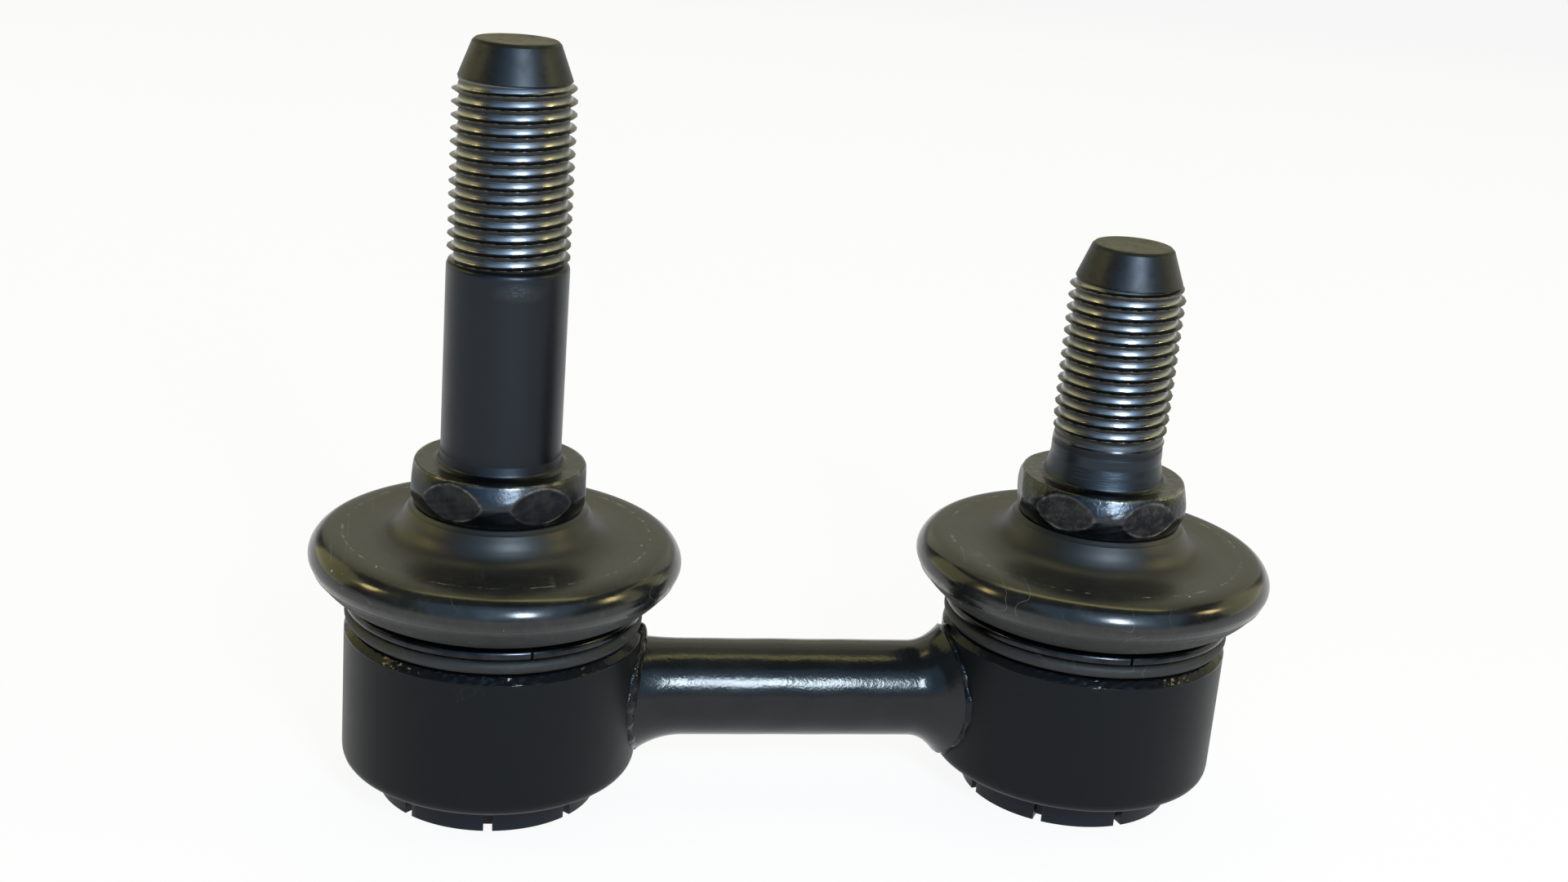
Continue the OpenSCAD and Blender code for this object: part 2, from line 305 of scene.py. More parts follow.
def forgingFinish():
    f = Finish("blackOxideForging", {"Metallic": 1.0})
    z, y = f.heightMm(), f.axis("Y") / mm
    across = abs(f.axis("X")) / mm - studAxis    # towards the outside of the link on both studs
    wear = f.add("ShaderNodeAttribute", {"attribute_name": "wear"}, {}, "Fac")
    flat = f.add("ShaderNodeAttribute", {"attribute_name": "flat"}, {}, "Fac")
    cloud, grit, pits = f.noise(3.5, 5.0, 0.6), f.noise(0.45, 5.0, 0.7), f.noise(0.22, 2.0)
    collar = f.band(z, 31.6, 36.25, 0.1)
    rough = f.ramp(f.axis("X"), -0.01, 0.01)     # the short stud is the rougher forging of the two, and its shank is painted lighter and bluer, as if more lit
    rubbed = (wear * (0.1 + 0.9 * f.ramp(f.noise(2.2, 4.0, 0.6), 0.48, 0.64)) * collar * 0.9).held()
    scrapes = collar * flat * f.ramp(f.noise(1.9, 5.0, 0.6), 0.42, 0.72) * 0.11
    scuffed = rough * collar * f.ramp(f.noise(0.9, 6.0, 0.72), 0.5, 0.7) * 0.2
    off = ((z - 55.0) / 0.95) ** 2 + ((across + 1.0) / 2.6) ** 2
    patch = (1 - f.ramp(off, 0.0, 1.3)) * f.ramp(0 - y, 3.0, 4.5)     # bruised spot under the long thread
    dents = patch * f.noise(0.5, 5.0, 0.65)
    drawn = f.noise(0.7, 4.0, 0.6, f.stretched((0.1, 0.1, 1.0)))
    # painted light: the short stud's shank gets a lighter, bluer colour than the long stud's
    shank = f.mix(rough, (0.028, 0.032, 0.038, 1), (0.036, 0.044, 0.053, 1))
    dark = f.mix(flat, shank, (0.02, 0.022, 0.025, 1))
    dark = f.mix(collar * (1 - flat), dark, (0.042, 0.046, 0.052, 1))
    colour = f.mix((rubbed + scrapes + scuffed).held(), dark, (0.26, 0.25, 0.22, 1))
    f.use("Base Color", f.mix((dents * 0.14).held(), colour, (0.24, 0.26, 0.28, 1)))
    rubbedSmooth = collar * 0.06 + patch * 0.08 + rough * collar * 0.05
    f.use("Roughness", (0.3 + cloud * 0.14 + flat * 0.12 - rubbedSmooth).held())
    lumps = f.noise(1.1, 3.0) * collar * (1 - flat) * (1.3 + rough * 1.6)
    streaks = drawn * rough * (1 - collar) * 2.6
    return f.bump(pits * 0.2 + grit * collar * (0.35 + rough * 0.4) + dents * 4.0 + lumps + streaks, 0.03)


def threadFinish():
    f = Finish("oiledThread", {"Metallic": 1.0})
    r = f.axisRadius()
    lead = f.add("ShaderNodeAttribute", {"attribute_name": "lead"}, {}, "Fac")
    cut = f.add("ShaderNodeAttribute", {"attribute_name": "cut"}, {}, "Fac")
    under = 1 - f.ramp(lead, 0.11, 0.17)         # painted shade: the steep side of each crest is darkened
    lower = f.ramp(lead, 0.57, 0.65)             # the underside of the next crest, painted a lighter, warmer grey than the root: painted light
    dull = f.ramp(lead, 0.26, 0.5)               # painted highlight just above the crest's painted shade, painted shade further up the root, which is also rougher
    crest = f.ramp(r, 5.84, 6.06)
    cloud = f.noise(2.5, 5.0, 0.65)
    dirt = f.ramp(f.noise(1.2, 6.0, 0.7), 0.54, 0.74) * crest
    # painted light and shade across each pitch of one metal, with real dirt over the crests
    colour = f.mix(dull, (0.25, 0.26, 0.275, 1), (0.08, 0.086, 0.096, 1))
    colour = f.mix(lower, colour, (0.17, 0.163, 0.14, 1))
    cutColour = f.mix((dirt * 0.5 + under * 0.9).held(), colour, (0.013, 0.013, 0.013, 1))
    f.use("Base Color", f.mix(f.ramp(cut, 0.05, 0.6), (0.029, 0.032, 0.037, 1), cutColour))
    f.use("Roughness", (0.2 + cloud * 0.1 + dull * 0.26 + dirt * 0.2).held())
    return f.bump(f.noise(0.4, 3.0) * 0.5 + dirt, 0.01)


def tipFinish():
    f = Finish("turnedTip", {"Metallic": 1.0})
    r = f.axisRadius()
    face = 1 - f.ramp(r, 3.95, 4.1)
    rings = f.noise(0.16, 2.0, 0.5, f.stretched((0.06, 0.06, 1.0)))
    cloud = f.noise(1.5, 5.0, 0.65)
    # painted light: the flat top face gets a lighter, olive colour than the cone, as if lit from above
    colour = f.mix(face, (0.034, 0.037, 0.041, 1), (0.1, 0.097, 0.07, 1))
    f.use("Base Color", f.mix((f.ramp(cloud, 0.5, 0.7) * 0.6).held(), colour, (0.02, 0.021, 0.02, 1)))
    f.use("Roughness", (0.36 + cloud * 0.16 + face * 0.1).held())
    return f.bump(rings * 0.5 + cloud * face * 0.8, 0.01)


def wireFinish():
    f = Finish("springWire", {"Metallic": 1.0})
    cloud = f.noise(1.8, 4.0)
    f.use("Base Color", f.mix(f.ramp(cloud, 0.4, 0.7), (0.022, 0.024, 0.028, 1), (0.042, 0.045, 0.05, 1)))
    f.use("Roughness", (0.14 + cloud * 0.14).held())
    return f.bump(f.noise(0.5, 3.0), 0.01)


def capFinish():
    f = Finish("capPlastic", {"Metallic": 0.0, "Specular IOR Level": 0.2})
    cloud = f.noise(4, 4.0)
    f.use("Base Color", f.mix(cloud, (0.006, 0.0085, 0.0135, 1), (0.01, 0.0125, 0.018, 1)))
    f.use("Roughness", (0.32 + cloud * 0.14).held())
    return f.bump(f.noise(0.6, 3.0), 0.012)


def seatFinish():
    f = Finish("seatAcetal", {"Metallic": 0.0})
    cloud = f.noise(5, 4.0)
    f.use("Base Color", f.mix(cloud, (0.74, 0.74, 0.7, 1), (0.84, 0.84, 0.8, 1)))
    f.use("Roughness", (0.34 + cloud * 0.12).held())
    return f.bump(f.noise(0.6, 3.0), 0.008)


def ringFinish():
    f = Finish("ringSteel", {"Metallic": 1.0})
    cloud = f.noise(1.4, 4.0)
    f.use("Base Color", f.mix(cloud, (0.42, 0.43, 0.45, 1), (0.58, 0.59, 0.6, 1)))
    f.use("Roughness", (0.26 + cloud * 0.16).held())
    return f.bump(f.noise(0.3, 3.0), 0.006)


rubber, satinPaint, glossPaint, weldPaint = rubberFinish(), housingFinish(), rodFinish(), weldFinish()
forging, thread, tip, wire = forgingFinish(), threadFinish(), tipFinish(), wireFinish()
capPlastic, seatAcetal, ringSteel = capFinish(), seatFinish(), ringFinish()
print("made", len(bpy.data.materials), "materials")


# Housings

housing = {
    "outline": [(11.45, 3.45, .15), (15.35, 3.45, 1.5), (15.35, 18.02, .2), (14.7, 18.65, .15), (12.7, 18.65, .15),
                (12.7, 21.05, .1), (13.2, 21.05, .1), (13.2, 22.05, .2), (9.6, 22.05, .2), (7.87, 16.45, .1),
                (12.45, 16.45, .1), (12.45, 4.95, .1), (11.45, 4.95, .1)],
    "burr": 0.06, "edge": (17.95, 18.8, 14.2),   # the painted burr's lowest and highest point, and its inner radius
    "around": 384, "step": 0.35, "seeds": {"left": 11, "right": 12},
}


def roughEdge(seed):
    def shape(r, z, turn):
        low, high, within = housing["edge"]
        on = np.clip((z - low) / 0.25, 0, 1) * np.clip((high - z) / 0.1, 0, 1) * np.clip((r - within) / 0.3, 0, 1)
        on = on * (0.12 + 0.88 * np.clip(-np.sin(turn) * 2.6 - 1.5, 0, 1))   # roughest at the front
        lumps = waviness(turn + z * 0.4, seed, 24, 60) + 0.6 * waviness(turn - z * 0.9, seed + 50, 40, 90)
        return r + housing["burr"] * on * lumps * 0.6, z + housing["burr"] * on * np.roll(lumps, 5, 1) * 0.5
    return shape


for side, x in sides.items():
    outline = spread(rounded(housing["outline"]), housing["step"])
    piece = lathe(side + "HousingShell", outline, x, housing["around"], True, 34, roughEdge(housing["seeds"][side]))
    give(piece, satinPaint)
    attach(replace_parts(piece, side + "_housing"), "link")
print("turned the housings")


# Rod and welds

rod = {
    "radius": 5.15, "height": 11.05, "wall": 15.35, "around": 192, "middle": 70,
    "endZone": 6.6, "saddle": (0.8, 5.5), "core": 17.0,      # the ends follow the round wall over the saddle's length
    "leftFlare": {"reach": 5.2, "rise": 1.75, "power": 2.3, "under": 0.42},
    "rightFlare": {"reach": 3.4, "rise": 1.85, "power": 2.2, "stop": 0.55},
}


def wallAt(y):
    return np.sqrt(rod["wall"] ** 2 - np.clip(np.abs(y), 0, 15) ** 2)


def leftRadius(gap, turn):                       # the flare hangs lower than it rises
    flare = rod["leftFlare"]
    grow = np.clip(1 - gap / flare["reach"], 0, 1.1) ** flare["power"]
    return rod["radius"] + flare["rise"] * grow * (1 - flare["under"] * (1 + np.sin(turn)))


def rightRadius(gap, turn):                      # a trumpet with a rounded rim, just short of the wall
    flare = rod["rightFlare"]
    grow = np.clip(1 - (gap - flare["stop"]) / flare["reach"], 0, 1) ** flare["power"]
    rim = np.clip((flare["stop"] - gap) / 0.3, 0, 1)
    return rod["radius"] + flare["rise"] * grow - 0.75 * (1 - np.sqrt(1 - rim ** 2)) + 0 * turn


def makeRod():
    turn = np.arange(rod["around"]) * 2 * math.pi / rod["around"]
    span = studAxis - rod["wall"]
    near = np.concatenate([[-0.25], np.linspace(0, 1.2, 25), np.linspace(1.3, 6.5, 34)])
    rows = []
    for end, radiusAt, gaps in ((-1, leftRadius, near), (1, rightRadius, near[::-1])):
        for gap in gaps:
            r = radiusAt(gap, turn)
            y, z = r * np.cos(turn), r * np.sin(turn)
            away = np.clip((gap - rod["saddle"][0]) / rod["saddle"][1], 0, 1)
            follow = 1 - away ** 2 * (3 - 2 * away)
            x = end * (span - gap + (rod["wall"] - wallAt(y)) * follow)
            rows.append(np.stack([x, y, z + rod["height"]], -1))
        if end < 0:
            straight = span - rod["endZone"]
            for x in np.linspace(-straight, straight, rod["middle"]):
                fade = 1 - (x / straight) ** 4
                sag = 1 + 0.004 * waviness(turn, 31, 2, 6, 6) * math.sin(x * 0.8) * fade
                y, z = rod["radius"] * sag * np.cos(turn), rod["radius"] * sag * np.sin(turn)
                rows.append(np.stack([np.full_like(y, x), y, z + rod["height"]], -1))
    points = np.array(rows).reshape(-1, 3)
    faces = gridFaces(len(rows), rod["around"], False)
    n = len(points)
    points = np.vstack([points, [[-rod["core"], 0, rod["height"]], [rod["core"], 0, rod["height"]]]])
    last = n - rod["around"]
    for k in range(rod["around"]):
        k2 = (k + 1) % rod["around"]
        faces += [(n, k2, k), (n + 1, last + k, last + k2)]
    return meshFrom("linkRodBar", points, faces, 50)


bar = give(makeRod(), glossPaint)
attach(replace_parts(bar, "link_rod"), "link")

weld = {
    "steps": 420, "section": 16,                 # each lump has an angle, a height and a width
    "left": {"path": 6.35, "radius": 0.42, "seed": 21,
             "lumps": [(96, 1.0, 9), (152, 0.34, 20), (118, 0.3, 9), (176, 0.22, 8)]},
    "right": {"path": 6.5, "radius": 0.5, "seed": 22,
              "lumps": [(92, 0.4, 10), (170, 0.16, 12), (205, 0.14, 9), (262, 0.25, 16)]},
}


def makeWeld(side, x):                           # a bead led around the rod's end, along the housing's wall
    run = weld[side]
    turn = np.arange(weld["steps"]) * 2 * math.pi / weld["steps"]
    size = run["radius"] * (1 + 0.16 * waviness(turn, run["seed"], 7, 22) + 0.06 * np.abs(np.sin(turn * 19)))
    for at, tall, wide in run["lumps"]:
        far = np.degrees(np.abs((turn - math.radians(at) + math.pi) % (2 * math.pi) - math.pi))
        size = size + tall * np.exp(-(far / wide) ** 2)
    rows = []
    for a in np.linspace(-0.3, 1.3, weld["section"]) * math.pi:
        r = run["path"] + size * np.cos(a)
        y, z = r * np.cos(turn), r * np.sin(turn)
        out = wallAt(y) + np.minimum(size, 0.75) * np.sin(a) * 0.95
        rows.append(np.stack([x - math.copysign(1, x) * out, y, z + rod["height"]], -1))
    faces = gridFaces(weld["section"], weld["steps"], True)
    return meshFrom(side + "WeldRun", np.array(rows).reshape(-1, 3), faces, 60)


for side, x in sides.items():
    give(makeWeld(side, x), weldPaint)
    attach(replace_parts(bpy.data.objects[side + "WeldRun"], side + "_weld_bead"), "link")
print("made the rod and its welds")


# Boots

boot = {
    "cuff": 14.1, "cuffFoot": 18.75, "bead": (14.65, 19.75, 0.7), "clipTop": 21.75, "rim": (19.05, 26.0),
    "lip": (8.75, 31.6), "hole": 6.65, "holeFoot": 28.5, "wall": 1.35, "groove": 12.75, "rib": (13.25, 21.0, 22.1),
    "seam": (17.5, 24.75, 0.09), "around": 272, "step": 0.5,
    "under": [(.18, .035), (.5, .235), (.73, .47), (.905, .73), (.98, .9), (1, 1)],
    "top": [(.005, .09), (.029, .196), (.078, .312), (.15, .393), (.238, .432), (.354, .438), (.49, .43), (.626, .434),
            (.738, .478), (.818, .562), (.878, .686), (.922, .82), (.962, .93)],
    "bendFrom": 22.4, "bendTo": 29.2,
}


def bootOutline():
    b = boot
    (rimR, rimZ), (lipR, lipZ) = b["rim"], b["lip"]
    knots = [(b["cuff"], b["clipTop"])]
    knots += [(b["cuff"] + s * (rimR - b["cuff"]), b["clipTop"] + t * (rimZ - b["clipTop"])) for s, t in b["under"]]
    knots += [(rimR - s * (rimR - lipR), rimZ + t * (lipZ - rimZ)) for s, t in b["top"]]
    skin = curveThrough(knots, 8)
    seamR, seamZ, seamSize = b["seam"]           # mould line under the rim
    skin[:, 0] += seamSize * np.exp(-((skin[:, 1] - seamZ) / seamSize) ** 2) * (skin[:, 0] > seamR)
    way = np.gradient(skin, axis=0)
    way /= np.linalg.norm(way, axis=1)[:, None]
    inner = skin + b["wall"] * np.stack([-way[:, 1], way[:, 0]], -1)
    cr, cz, rr = b["bead"]
    bead = [(cr + rr * math.cos(a), cz + rr * math.sin(a)) for a in np.radians(np.linspace(-130, 130, 25))]
    foot = [(b["groove"], b["cuffFoot"]), (b["cuff"] - .1, b["cuffFoot"]), (b["cuff"], b["cuffFoot"] + .1)]
    hole, holeFoot = b["hole"], b["holeFoot"]
    lip = [(lipR, lipZ - .2), (lipR - .05, lipZ - .06), (lipR - .2, lipZ), (hole + .15, lipZ), (hole, lipZ - .15),
           (hole, holeFoot + .2), (hole + .2, holeFoot)]
    ribR, ribLow, ribHigh = b["rib"]
    back = [p for p in inner[::-1] if p[1] > ribHigh + .25 and p[0] > hole + 2.6]
    rib = [(ribR, ribHigh + .1), (ribR, ribLow), (b["groove"], ribLow - .05)]
    return np.array(foot + bead + [tuple(p) for p in skin] + lip + [tuple(p) for p in back] + rib)


for side, x in sides.items():
    piece = lathe(side + "BootRubber", spread(bootOutline(), boot["step"]), x, boot["around"], True, 50)
    give(piece, rubber)
    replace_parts(piece, side + "_boot")
    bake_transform(piece)
print("moulded the boots")


# Geometry Nodes helpers

def newTree(name, sizes):
    tree = bpy.data.node_groups.new(name, "GeometryNodeTree")
    for label in sizes:
        tree.interface.new_socket(name=label, in_out="INPUT", socket_type="NodeSocketFloat")
    tree.interface.new_socket(name="Finish", in_out="INPUT", socket_type="NodeSocketMaterial")
    tree.interface.new_socket(name="Geometry", in_out="OUTPUT", socket_type="NodeSocketGeometry")
    return tree


def put(tree, kind, settings, values):
    node = tree.nodes.new(kind)
    for key, value in settings.items():
        setattr(node, key, value)
    for key, value in values.items():
        if isinstance(value, bpy.types.NodeSocket):
            tree.links.new(value, node.inputs[key])
        elif isinstance(value, Signal):
            tree.links.new(value.socket, node.inputs[key])
        else:
            node.inputs[key].default_value = value
    return node


def endTree(tree, geometry, finish):
    smooth = put(tree, "GeometryNodeSetShadeSmooth", {}, {"Geometry": geometry})
    real = put(tree, "GeometryNodeRealizeInstances", {}, {"Geometry": smooth.outputs[0]})
    painted = put(tree, "GeometryNodeSetMaterial", {}, {"Geometry": real.outputs[0], "Material": finish})
    put(tree, "NodeGroupOutput", {}, {"Geometry": painted.outputs[0]})
    return tree


def grow(name, tree, sizes, finish):
    holder = bpy.data.objects.new(name + "Maker", bpy.data.meshes.new(name + "Maker"))
    bpy.context.scene.collection.objects.link(holder)
    modifier = holder.modifiers.new("make", "NODES")
    modifier.node_group = tree
    for item in tree.interface.items_tree:
        if item.in_out == "INPUT":
            modifier[item.identifier] = finish if item.name == "Finish" else float(sizes[item.name])
    bpy.context.view_layer.update()
    mesh = bpy.data.meshes.new_from_object(holder.evaluated_get(bpy.context.evaluated_depsgraph_get()))
    holder.modifiers.clear()
    bpy.data.objects.remove(holder)
    mesh.name = name
    piece = bpy.data.objects.new(name, mesh)
    bpy.context.scene.collection.objects.link(piece)
    return piece


# Clips

clip = {"radius": 14.75, "wire": 0.6, "height": 21.1, "gap": 0.25, "turn": {"left": -79.0, "right": -90.0},
        "steps": 320, "section": 20}


def clipTree():
    labels = ["Radius", "Wire", "Height", "Turns", "Start", "Axis"]
    tree = newTree("wireRing", labels)
    size = put(tree, "NodeGroupInput", {}, {}).outputs
    path = put(tree, "GeometryNodeCurveSpiral", {}, {
        "Resolution": clip["steps"], "Rotations": size["Turns"], "Start Radius": size["Radius"],
        "End Radius": size["Radius"], "Height": 0.0})
    ring = put(tree, "GeometryNodeCurvePrimitiveCircle", {}, {"Resolution": clip["section"], "Radius": size["Wire"]})
    swept = put(tree, "GeometryNodeCurveToMesh", {}, {
        "Curve": path.outputs[0], "Profile Curve": ring.outputs[0], "Fill Caps": True})
    turned = put(tree, "ShaderNodeCombineXYZ", {}, {"Z": size["Start"]})
    moved = put(tree, "ShaderNodeCombineXYZ", {}, {"X": size["Axis"], "Z": size["Height"]})
    placed = put(tree, "GeometryNodeTransform", {}, {"Geometry": swept.outputs[0], "Translation": moved.outputs[0],
                                                     "Rotation": turned.outputs[0]})
    return endTree(tree, placed.outputs[0], size["Finish"])


wireRing = clipTree()
for side, x in sides.items():
    gapTurn = clip["gap"] / clip["radius"]
    piece = grow(side + "ClipWire", wireRing, {
        "Radius": clip["radius"] * mm, "Wire": clip["wire"] * mm, "Height": clip["height"] * mm, "Axis": x * mm,
        "Turns": 1 - gapTurn / (2 * math.pi), "Start": math.radians(clip["turn"][side]) + gapTurn / 2}, wire)
    piece.data.set_sharp_from_angle(angle=math.radians(50))
    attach(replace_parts(piece, side + "_boot_clip"), "link")
print("wound the clips")


# Studs

stud = {
    "ball": 9.0, "neck": 4.75, "neckTop": 26.2, "seat": 6.25, "seatFoot": 28.6,
    "collar": (31.75, 36.2), "under": 8.3, "face": 8.46, "recess": 6.9, "flats": 8.74, "turned": 9.36, "bulge": 0.8,
    "pitch": 1.285, "depth": 0.8, "major": 6.1, "topRadius": 5.5, "topRunOut": 1.1,
    "around": 360, "threadAround": 145, "rowsPerPitch": 24.0, "tipAround": 192,
    "left": {"shank": 6.1, "shankTop": 56.8, "tipFoot": 74.8, "top": 78.6, "hexTurn": -4.0, "soft": 0.04,
             "forged": 0.008, "taper": 0.0, "threadFoot": 56.3, "footRadius": 5.7, "footRunOut": 1.1, "seed": 41},
    "right": {"shank": 5.86, "shankTop": 39.8, "tipFoot": 57.5, "top": 61.3, "hexTurn": -12.5, "soft": 0.08,
              "forged": 0.012, "taper": 0.26, "threadFoot": 39.4, "footRadius": 5.84, "footRunOut": 4.0, "seed": 42},
}


def studOutline(side):
    s, own = stud, stud[side]
    low, high = s["collar"]
    joint = ballHeight + math.sqrt(s["ball"] ** 2 - s["neck"] ** 2)
    start = math.asin((joint - ballHeight) / s["ball"])
    turns = np.linspace(-math.pi / 2, start, 40)
    ball = [(s["ball"] * math.cos(a), ballHeight + s["ball"] * math.sin(a)) for a in turns]
    ball[0] = (0.0, ballHeight - s["ball"])
    neck = rounded([(*ball[-1], 0), (s["neck"], joint + .6, .4), (s["neck"], s["neckTop"], .6),
                    (s["seat"], s["seatFoot"], .4), (s["seat"], low, .1), (s["under"], low, 0)])[1:]
    half, mid = (high - low) / 2, (high + low) / 2
    heights = np.linspace(low + .03, high - .06, 48)
    collar = [(s["turned"] - s["bulge"] * abs((z - mid) / half) ** 1.45, z) for z in heights]
    top = own["shankTop"]
    foot = own["shank"] + own["taper"]
    narrows = [(own["shank"], high + 2.2, .5)] if own["taper"] else []
    above = rounded([(*collar[-1], 0), (s["face"], high, .12), (s["recess"], high - .06, .1),
                     (foot + .25, high + .1, .45), (foot, high + 1.1, .6), *narrows, (own["shank"], top - .05, .8),
                     (5.2, top + .3, .2), (4.9, top + .35, 0), (0.0, top + .35, 0)])[1:]
    below = spread(np.vstack([ball, neck]), 0.6, False)
    return np.vstack([below, collar, spread(above, 0.3, False)])


def addForging(side, x):
    own = stud[side]
    low, high = stud["collar"]
    outline = studOutline(side)
    turn = np.repeat((np.arange(stud["around"]) * 2 * math.pi / stud["around"])[None, :], len(outline), 0)
    r = np.repeat(outline[:, :1], stud["around"], 1)
    z = np.repeat(outline[:, 1:], stud["around"], 1)
    phase = (turn - math.radians(own["hexTurn"]) + math.pi / 6) % (math.pi / 3) - math.pi / 6
    gap = np.where((z > low + .01) & (z < high + .01) & (r > 8.2), stud["flats"] / np.cos(phase) - r, 9.0)
    flat = 1 / (1 + np.exp(np.clip(gap / own["soft"] * 2, -30, 30)))
    ends = np.exp(-((z - high + .06) / .16) ** 2) + np.exp(-((z - low - .05) / .2) ** 2)
    worn = np.exp(-(gap / (0.03 + own["soft"] / 2)) ** 2) + ends * (gap < 5)

    def shape(r, z, turn):                       # flats cut into the barrel, over a slightly uneven forging
        cut = np.where(gap < 5, np.minimum(gap, 0) - own["soft"] * np.exp(-np.abs(gap) / own["soft"]) * 0.4, 0)
        rough = waviness(turn + z * 0.3, own["seed"], 4, 14) + 0.6 * waviness(turn - z * 0.4, own["seed"] + 9, 8, 24)
        return r + cut + own["forged"] * rough * (gap < 5), z

    piece = lathe(side + "StudForging", outline, x, stud["around"], False, 40, shape, {"flat": flat, "wear": worn})
    give(piece, forging)
    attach(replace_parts(piece, side + "_ball_stud"), side + "_stud")


def threadTree():
    labels = ["Major", "Depth", "Pitch", "Length", "Foot", "Axis", "FootRadius", "FootRunOut", "TopRadius", "TopRunOut",
              "RowsPerPitch"]
    tree = newTree("rolledThread", labels)
    size = put(tree, "NodeGroupInput", {}, {}).outputs
    value = {label: Signal(tree, size[label]) for label in labels}
    rows = value["Length"] / value["Pitch"] * value["RowsPerPitch"]
    grid = put(tree, "GeometryNodeMeshGrid", {}, {
        "Size X": 1.0, "Size Y": 1.0, "Vertices X": stud["threadAround"], "Vertices Y": rows})
    point = put(tree, "GeometryNodeInputPosition", {}, {}).outputs[0]
    place = put(tree, "ShaderNodeSeparateXYZ", {}, {0: point}).outputs
    across, up = Signal(tree, place["X"]), Signal(tree, place["Y"]) + 0.5
    height = up * value["Length"]
    lead = (height / value["Pitch"] - across).math("FRACT")
    steep = 1 - lead * 4.4                       # sharp crest, sloping root, straight lower flank
    slope = (0.6 - lead) * 0.66
    ridge = steep.math("MAXIMUM", slope).math("MAXIMUM", (lead - 0.6) / 0.4)
    foot = (height / value["FootRunOut"]).held()
    head = ((value["Length"] - height) / value["TopRunOut"]).held()
    full = foot * foot * (3 - 2 * foot)
    crest = value["TopRadius"] + (value["Major"] - value["TopRadius"]) * (head * (2 - head))
    crest = value["FootRadius"] + (crest - value["FootRadius"]) * full
    body = crest - value["Depth"] * full * (1 - ridge) * (0.4 + 0.6 * head)
    ends = (up > 0.0005) * (up < 0.9995)         # the first and last rows close the tube
    radius = body * ends
    turn = across * (2 * math.pi)
    x = radius * turn.math("COSINE") + value["Axis"]
    y = radius * turn.math("SINE")
    wrapped = put(tree, "ShaderNodeCombineXYZ", {}, {"X": x, "Y": y, "Z": height + value["Foot"]})
    marked = put(tree, "GeometryNodeStoreNamedAttribute", {"data_type": "FLOAT", "domain": "POINT"},
                 {"Geometry": grid.outputs[0], "Name": "lead", "Value": lead})
    marked = put(tree, "GeometryNodeStoreNamedAttribute", {"data_type": "FLOAT", "domain": "POINT"},
                 {"Geometry": marked.outputs[0], "Name": "cut", "Value": full})
    shaped = put(tree, "GeometryNodeSetPosition", {}, {"Geometry": marked.outputs[0], "Position": wrapped.outputs[0]})
    welded = put(tree, "GeometryNodeMergeByDistance", {}, {"Geometry": shaped.outputs[0], "Distance": 1e-6})
    return endTree(tree, welded.outputs[0], size["Finish"])


rolledThread = threadTree()


def addThread(side, x):
    own = stud[side]
    foot, head = own["threadFoot"], own["tipFoot"] + 0.1
    piece = grow(side + "StudThread", rolledThread, {
        "Major": stud["major"] * mm, "Depth": stud["depth"] * mm, "Pitch": stud["pitch"] * mm,
        "Length": (head - foot) * mm, "Foot": foot * mm, "Axis": x * mm,
        "FootRadius": own["footRadius"] * mm, "FootRunOut": own["footRunOut"] * mm,
        "TopRadius": stud["topRadius"] * mm, "TopRunOut": stud["topRunOut"] * mm,
        "RowsPerPitch": stud["rowsPerPitch"]}, thread)
    piece.data.set_sharp_from_angle(angle=math.radians(60))
    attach(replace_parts(piece, side + "_ball_stud"), side + "_stud")


def addTip(side, x):
    low, high = stud[side]["tipFoot"], stud[side]["top"]
    corners = [(0, low, 0), (5.35, low - .02, .05), (5.58, low + .1, .06), (4.3, high - .3, .3),
               (4.0, high - .02, .12), (3.4, high, .2), (2.0, high - .1, .5), (0, high - .12, 0)]
    piece = lathe(side + "StudTip", spread(rounded(corners), 0.25, False), x, stud["tipAround"], False, 32)
    give(piece, tip)
    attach(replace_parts(piece, side + "_ball_stud"), side + "_stud")


for side, x in sides.items():
    addForging(side, x)
    addThread(side, x)
    addTip(side, x)
print("cut the studs")


# End caps, seats and slide rings

cap = {"edge": 0.14, "segments": 3, "turn": {"left": -1.5, "right": 14.5}}


def addCap(side):
    mesh = nodes[side + "_end_cap"].data.copy()
    bm = bmesh.new()
    bm.from_mesh(mesh)
    bmesh.ops.remove_doubles(bm, verts=bm.verts, dist=2e-6)
    turned = Matrix.Rotation(math.radians(cap["turn"][side]), 3, "Z")
    bmesh.ops.rotate(bm, verts=bm.verts, cent=(sides[side] * mm, 0, 0), matrix=turned)
    bmesh.ops.dissolve_limit(bm, angle_limit=math.radians(1.0), verts=bm.verts, edges=bm.edges)
    bm.to_mesh(mesh)
    bm.free()
    piece = bpy.data.objects.new(side + "CapCrown", mesh)
    bpy.context.scene.collection.objects.link(piece)
    bevel = piece.modifiers.new("soften", "BEVEL")
    bevel.width, bevel.segments = cap["edge"] * mm, cap["segments"]
    bevel.limit_method, bevel.angle_limit = "ANGLE", math.radians(45)
    mesh.shade_smooth()
    mesh.set_sharp_from_angle(angle=math.radians(40))
    give(piece, capPlastic)
    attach(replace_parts(piece, side + "_end_cap"), "link")


for side in sides:
    addCap(side)
    give(nodes[side + "_ball_seat"], seatAcetal)
    give(nodes[side + "_slide_ring"], ringSteel)
print("dressed caps, seats and rings")


# Floor, light and camera

